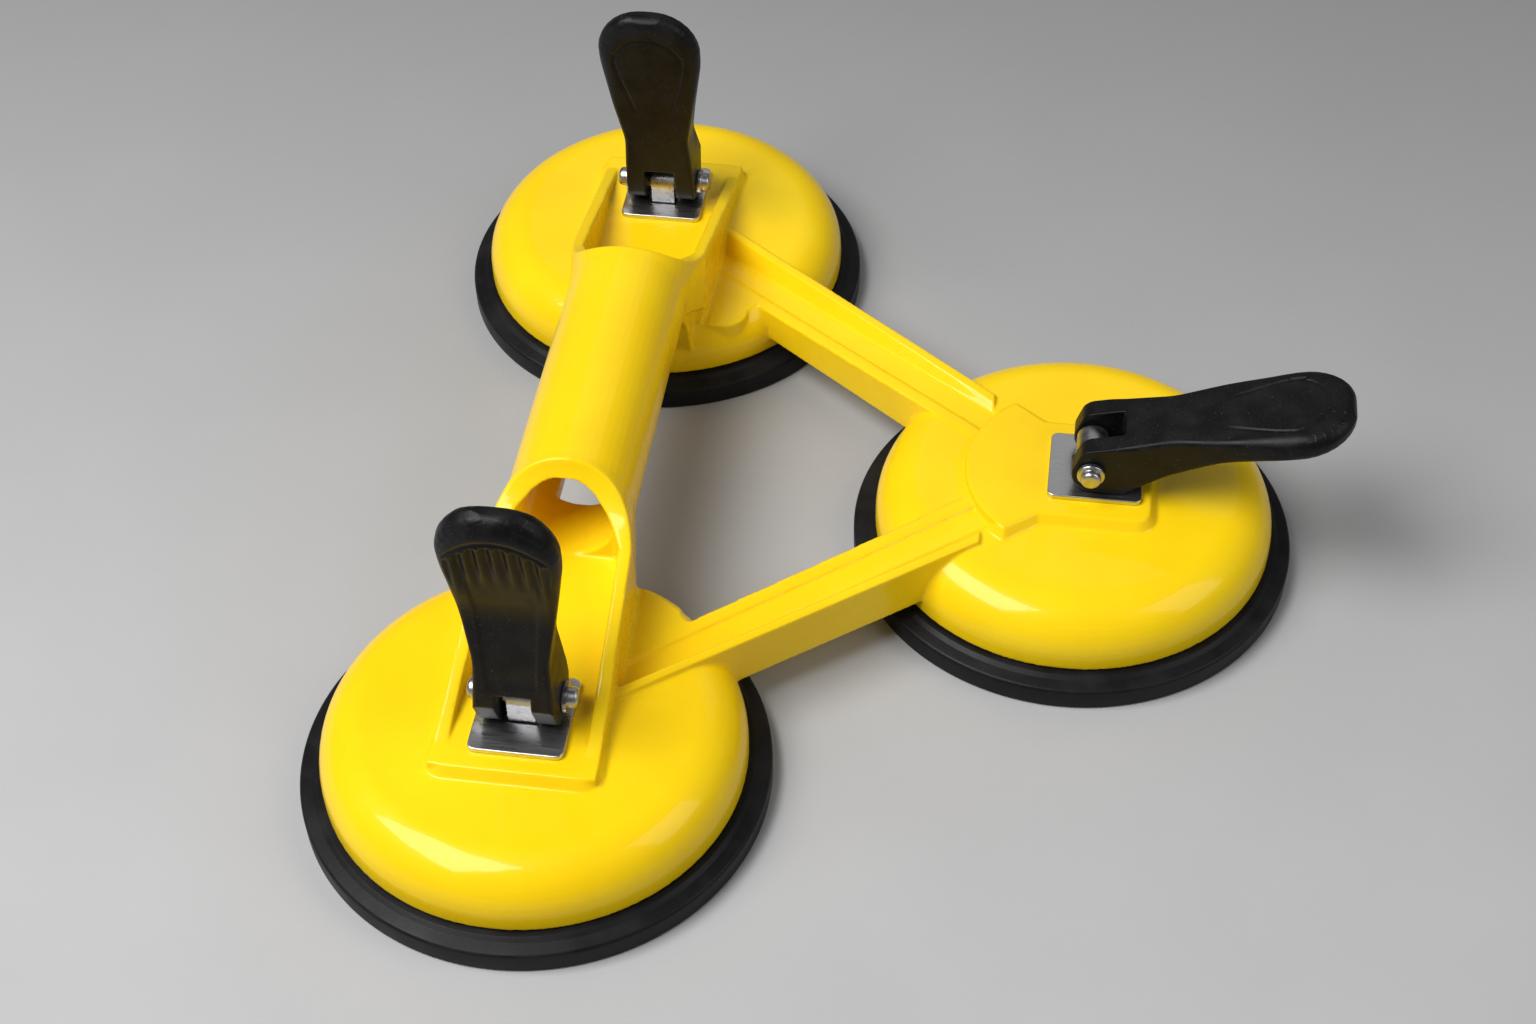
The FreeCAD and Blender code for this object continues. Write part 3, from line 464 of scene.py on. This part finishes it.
# moulded relief: the skin is how near a point has to be to a face to be on it
SKIN = 0.8
GROOVE_DEPTH = 0.4
GROOVE_WIDTH = 0.45
GROOVE_RUN = (30, 37)
UNDER_RUN = 33
UNDER_RISE = 8.1
RIDGE_START = 6.3
RIDGE_ARC = 5.5
RIDGE_HALF_WIDTH = 11
RIDGE_RISE = (-0.4, 1.6)
RIDGE_FADE = (6, 17)
RIDGE_DEPTH = 1.2
RIDGE_PITCH = 3.5
CREASE_AHEAD = 1.1
CREASE_DEPTH = 0.6
CREASE_WIDTH = 0.8
PANEL_DEPTH = 0.45
PANEL_HALF_WIDTH = 4.4
PANEL_TAPER = 0.07
PANEL_EDGE = 1.2
PANEL_START = (13, 17)
PANEL_END = (44, 54)
BORDER = (1.4, 3.2)


def reach_to(points, line):
    """Distance from points to a polyline in its plane, and the normal on the right of the nearest segment."""
    begin, run = line[:-1], np.diff(line, axis=0)
    gap = points[:, None] - begin
    share = np.clip((gap * run).sum(-1) / (run ** 2).sum(-1), 0, 1)
    apart = np.linalg.norm(gap - share[..., None] * run, axis=-1)
    near = apart.argmin(1)
    along = run[near] / np.linalg.norm(run[near], axis=-1, keepdims=True)
    return apart[np.arange(len(points)), near], np.stack([along[:, 1], -along[:, 0]], -1)


def eased(value, low, high):
    """A share that goes smoothly from 0 at low to 1 at high: 3 t t - 2 t t t, with t clipped to 0 and 1."""
    t = np.clip((value - low) / (high - low), 0, 1)
    return t * t * (3 - 2 * t)


def round_over(inset, depth, radius):
    """How far points near an edge go into its two faces to lie on a round of a radius.

    A point less than the radius from both faces goes towards the round's centre until it is a radius away.
    """
    across, under = np.clip(radius - inset, 0, None), np.clip(radius - depth, 0, None)
    share = np.clip(1 - radius / np.maximum(np.hypot(across, under), SMALLEST_GAP), 0, None)
    both = (across > 0) & (under > 0)
    return across * share * both, under * share * both


def shape_lever(points):
    """Moves the points of a lever, in mm along, aside and above the pin, to its moulded shape.

    The edges between the flanks and the two faces are rounded over, by more at the head, and wider on top of
    its end. The top then gets a groove exp(-d d / w w) about the teardrop line, d away from it. The underside
    gets ridges of 0.5 - 0.5 cos(2 pi s / pitch), which start on an arc and fade, with a crease before them
    and a panel after them.
    """
    along, aside, above = points.T.copy()
    side = np.sign(aside)
    inset, inward = reach_to(np.stack([along, np.abs(aside)], -1), LEVER_PLAN)
    deep_top, into_top = reach_to(np.stack([along, above], -1), LEVER_TOP)
    deep_under, into_under = reach_to(np.stack([along, above], -1), LEVER_UNDER)
    into_under = -into_under

    radius = FOOT_ROUND + (WAIST_ROUND - FOOT_ROUND) * eased(along, *WAIST_RUN)
    radius += (HEAD_ROUND - WAIST_ROUND) * eased(along, *HEAD_RUN)
    broad = 1 + END_BROADENING * eased(along, *END_RUN)
    for deep, into, stretch in ((deep_top, into_top, broad), (deep_under, into_under, 1)):
        over, under = round_over(inset / stretch, deep, radius)
        along += inward[:, 0] * over * stretch + into[:, 0] * under
        aside += side * inward[:, 1] * over * stretch
        above += into[:, 1] * under

    line, _ = reach_to(np.stack([along, np.abs(aside)], -1), TEARDROP)
    groove = GROOVE_DEPTH * np.exp(-(line / GROOVE_WIDTH) ** 2) * eased(along, *GROOVE_RUN) * (deep_top < SKIN)

    from_tip = (LEVER_REACH - along) * math.hypot(UNDER_RUN, UNDER_RISE) / UNDER_RUN
    from_start = from_tip - RIDGE_START - RIDGE_ARC * (aside / RIDGE_HALF_WIDTH) ** 2
    ridge_fade = eased(from_start, *RIDGE_RISE) * (1 - eased(from_start, *RIDGE_FADE))
    hollow = RIDGE_DEPTH * (0.5 - 0.5 * np.cos(2 * np.pi * aside / RIDGE_PITCH)) * ridge_fade
    hollow += CREASE_DEPTH * np.exp(-((from_start + CREASE_AHEAD) / CREASE_WIDTH) ** 2)
    panel_half = PANEL_HALF_WIDTH + PANEL_TAPER * along
    panel = 1 - eased(np.abs(aside), panel_half, panel_half + PANEL_EDGE)
    hollow += PANEL_DEPTH * panel * eased(along, *PANEL_START) * (1 - eased(along, *PANEL_END))
    hollow *= eased(inset, *BORDER) * (deep_under < SKIN)

    along += into_top[:, 0] * groove + into_under[:, 0] * hollow
    above += into_top[:, 1] * groove + into_under[:, 1] * hollow
    return np.stack([along, aside, above], -1)


def points_of(mesh):
    """The points of a mesh as an array with one row each."""
    flat = np.empty(len(mesh.vertices) * 3)
    mesh.vertices.foreach_get("co", flat)
    return flat.reshape(-1, 3)


nylon = Finish("black_nylon", {"Specular IOR Level": 0.16})
rub = nylon.ramp(nylon.grain(size=6 * MM, detail=4.0), low=0.4, high=0.75)
specks = nylon.ramp(nylon.grain(size=0.5 * MM, detail=1.0), low=0.7, high=0.78)
nylon.feed("Base Color", nylon.between(specks, nylon.between(rub, NYLON_BLACK, NYLON_WORN), NYLON_SPECK))
nylon.feed("Roughness", level(rub, low=0.36, high=0.5))
nylon.feed("Normal", nylon.bump(nylon.grain(size=0.55 * MM, detail=2.0), depth=0.03 * MM))

for cup in CUP_PLACES:
    way = np.array([*LEVER_WAYS[cup], 0.0])
    upright = np.array([0.0, 0.0, 1.0])
    stand = math.radians(LEVER_STANDS[cup])
    axes = np.array([way * math.cos(stand) + upright * math.sin(stand), np.cross(upright, way),
                     upright * math.cos(stand) - way * math.sin(stand)])
    pin = np.array(fold_places[f"lever_{cup}_fold"])

    # the straight flutes are levelled first, so that the ridges can take their place
    fork_wedge = prism(FORK_WEDGE, -FORK_HALF, FORK_HALF, pin, axes[[0, 2, 1]])
    blank = carved(merged(f"lever_{cup}"), fork_wedge)
    local = (points_of(blank) - pin) @ axes.T / MM
    along, aside, above = local.T
    deep, into = reach_to(local[:, [0, 2]], LEVER_UNDER)
    in_flute = (deep > FLUTE_DEPTHS[0]) & (deep < FLUTE_DEPTHS[1]) & (np.abs(aside) < FLUTES_HALF_WIDTH)
    in_flute &= (along > FLUTE_RUN[0]) & (along < FLUTE_RUN[1]) & (above < along * FLUTE_SLOPE)
    local[:, [0, 2]] += np.where(in_flute, deep, 0)[:, None] * into
    blank.vertices.foreach_set("co", (local @ axes * MM + pin).ravel())

    lever = softened(blank, f"moulded_lever_{cup}", LEVER_VOXEL, LEVER_PASSES)
    local = shape_lever((points_of(lever.data) - pin) @ axes.T / MM)
    lever.data.vertices.foreach_set("co", (local @ axes * MM + pin).ravel())
    lever.data.update()
    dress(lever, nylon, "lever_plastic", f"lever_{cup}", f"lever_{cup}")


# Floor. A plain pale grey floor with a slight mottle, and painted shade that darkens it towards the back, where
# the light falls off. It isn't part of the object.
FLOOR_REACH = 6.0
FLOOR_DARK = (0.42, 0.42, 0.425, 1)
FLOOR_LIGHT = (0.47, 0.47, 0.475, 1)
# painted shade: the floor's colour at the back, where the light falls off
FLOOR_FAR_SHADE = (0.2, 0.2, 0.202, 1)

floor_mesh = bpy.data.meshes.new("floor")
floor_corners = [(-FLOOR_REACH, -FLOOR_REACH, 0), (FLOOR_REACH, -FLOOR_REACH, 0),
                 (FLOOR_REACH, FLOOR_REACH, 0), (-FLOOR_REACH, FLOOR_REACH, 0)]
floor_mesh.from_pydata(floor_corners, [], [(0, 1, 2, 3)])
floor = bpy.data.objects.new("floor", floor_mesh)
bpy.context.scene.collection.objects.link(floor)
screed = Finish("pale_screed", {"Roughness": 0.7, "Specular IOR Level": 0.25})
pale = screed.between(screed.grain(size=60 * MM, detail=5.0), FLOOR_DARK, FLOOR_LIGHT)
backward = screed.start.node("SeparateXYZ", {}, {"Vector": screed.place}, "Y")
# the mottled floor is blended into painted shade towards the back
screed.feed("Base Color", screed.between(screed.ramp(backward, low=-0.1, high=0.5), pale, FLOOR_FAR_SHADE))
screed.feed("Normal", screed.bump(screed.grain(size=1.2 * MM, detail=3.0), depth=0.05 * MM))
floor_mesh.materials.append(screed.material)


# Light. A broad softbox hangs over the left, a smaller one at the right and a weak one at the back, in an even
# grey room.
LIGHT_AIM = (0, 0, 0.02)
ROOM_GREY = (0.5, 0.5, 0.5, 1)
ROOM_STRENGTH = 0.25


def softbox(name, place, width, height, power):
    """A rectangular area light, with its sides in metres and its power in watts, aimed at the object."""
    light = bpy.data.lights.new(name, "AREA")
    light.shape = "RECTANGLE"
    light.size = width
    light.size_y = height
    light.energy = power
    lamp = bpy.data.objects.new(name, light)
    lamp.location = place
    lamp.rotation_euler = (Vector(LIGHT_AIM) - Vector(place)).to_track_quat("-Z", "Y").to_euler()
    bpy.context.scene.collection.objects.link(lamp)


softbox("key_softbox", place=(-0.6, -0.38, 1.1), width=0.9, height=0.7, power=19.8)
softbox("side_softbox", place=(0.95, -0.2, 0.8), width=0.6, height=0.8, power=3.4)
softbox("back_softbox", place=(0.1, 1.1, 1.0), width=1.2, height=0.5, power=0.8)
room = bpy.data.worlds.new("studio_room")
room.use_nodes = True
room.node_tree.nodes["Background"].inputs["Color"].default_value = ROOM_GREY
room.node_tree.nodes["Background"].inputs["Strength"].default_value = ROOM_STRENGTH
bpy.context.scene.world = room
bpy.context.scene.view_settings.view_transform = "Standard"


# Camera. It stands at the front, looks down on the handle's length, and leans a little to one side.
CAMERA_PLACE = np.array([46.7, -453.9, 479.1]) * MM
CAMERA_TURNS = (-8.901, 46.158, -1.2)
FOCAL_PIXELS = 2349.7
IMAGE_WIDTH = 1536
SENSOR_WIDTH = 36

yaw, pitch, roll = np.radians(CAMERA_TURNS)
look = np.array([math.sin(yaw) * math.cos(pitch), math.cos(yaw) * math.cos(pitch), -math.sin(pitch)])
sideways = np.array([math.cos(yaw), -math.sin(yaw), 0])
rise = np.cross(sideways, look)
right = sideways * math.cos(roll) + rise * math.sin(roll)
upward = rise * math.cos(roll) - sideways * math.sin(roll)
lens = bpy.data.cameras.new("photo_camera")
lens.sensor_width = SENSOR_WIDTH
lens.lens = FOCAL_PIXELS / IMAGE_WIDTH * SENSOR_WIDTH
camera = bpy.data.objects.new("photo_camera", lens)
turn = Matrix((right, upward, -look)).transposed().to_4x4()
camera.matrix_world = Matrix.Translation(Vector(CAMERA_PLACE)) @ turn
bpy.context.scene.collection.objects.link(camera)
bpy.context.scene.camera = camera
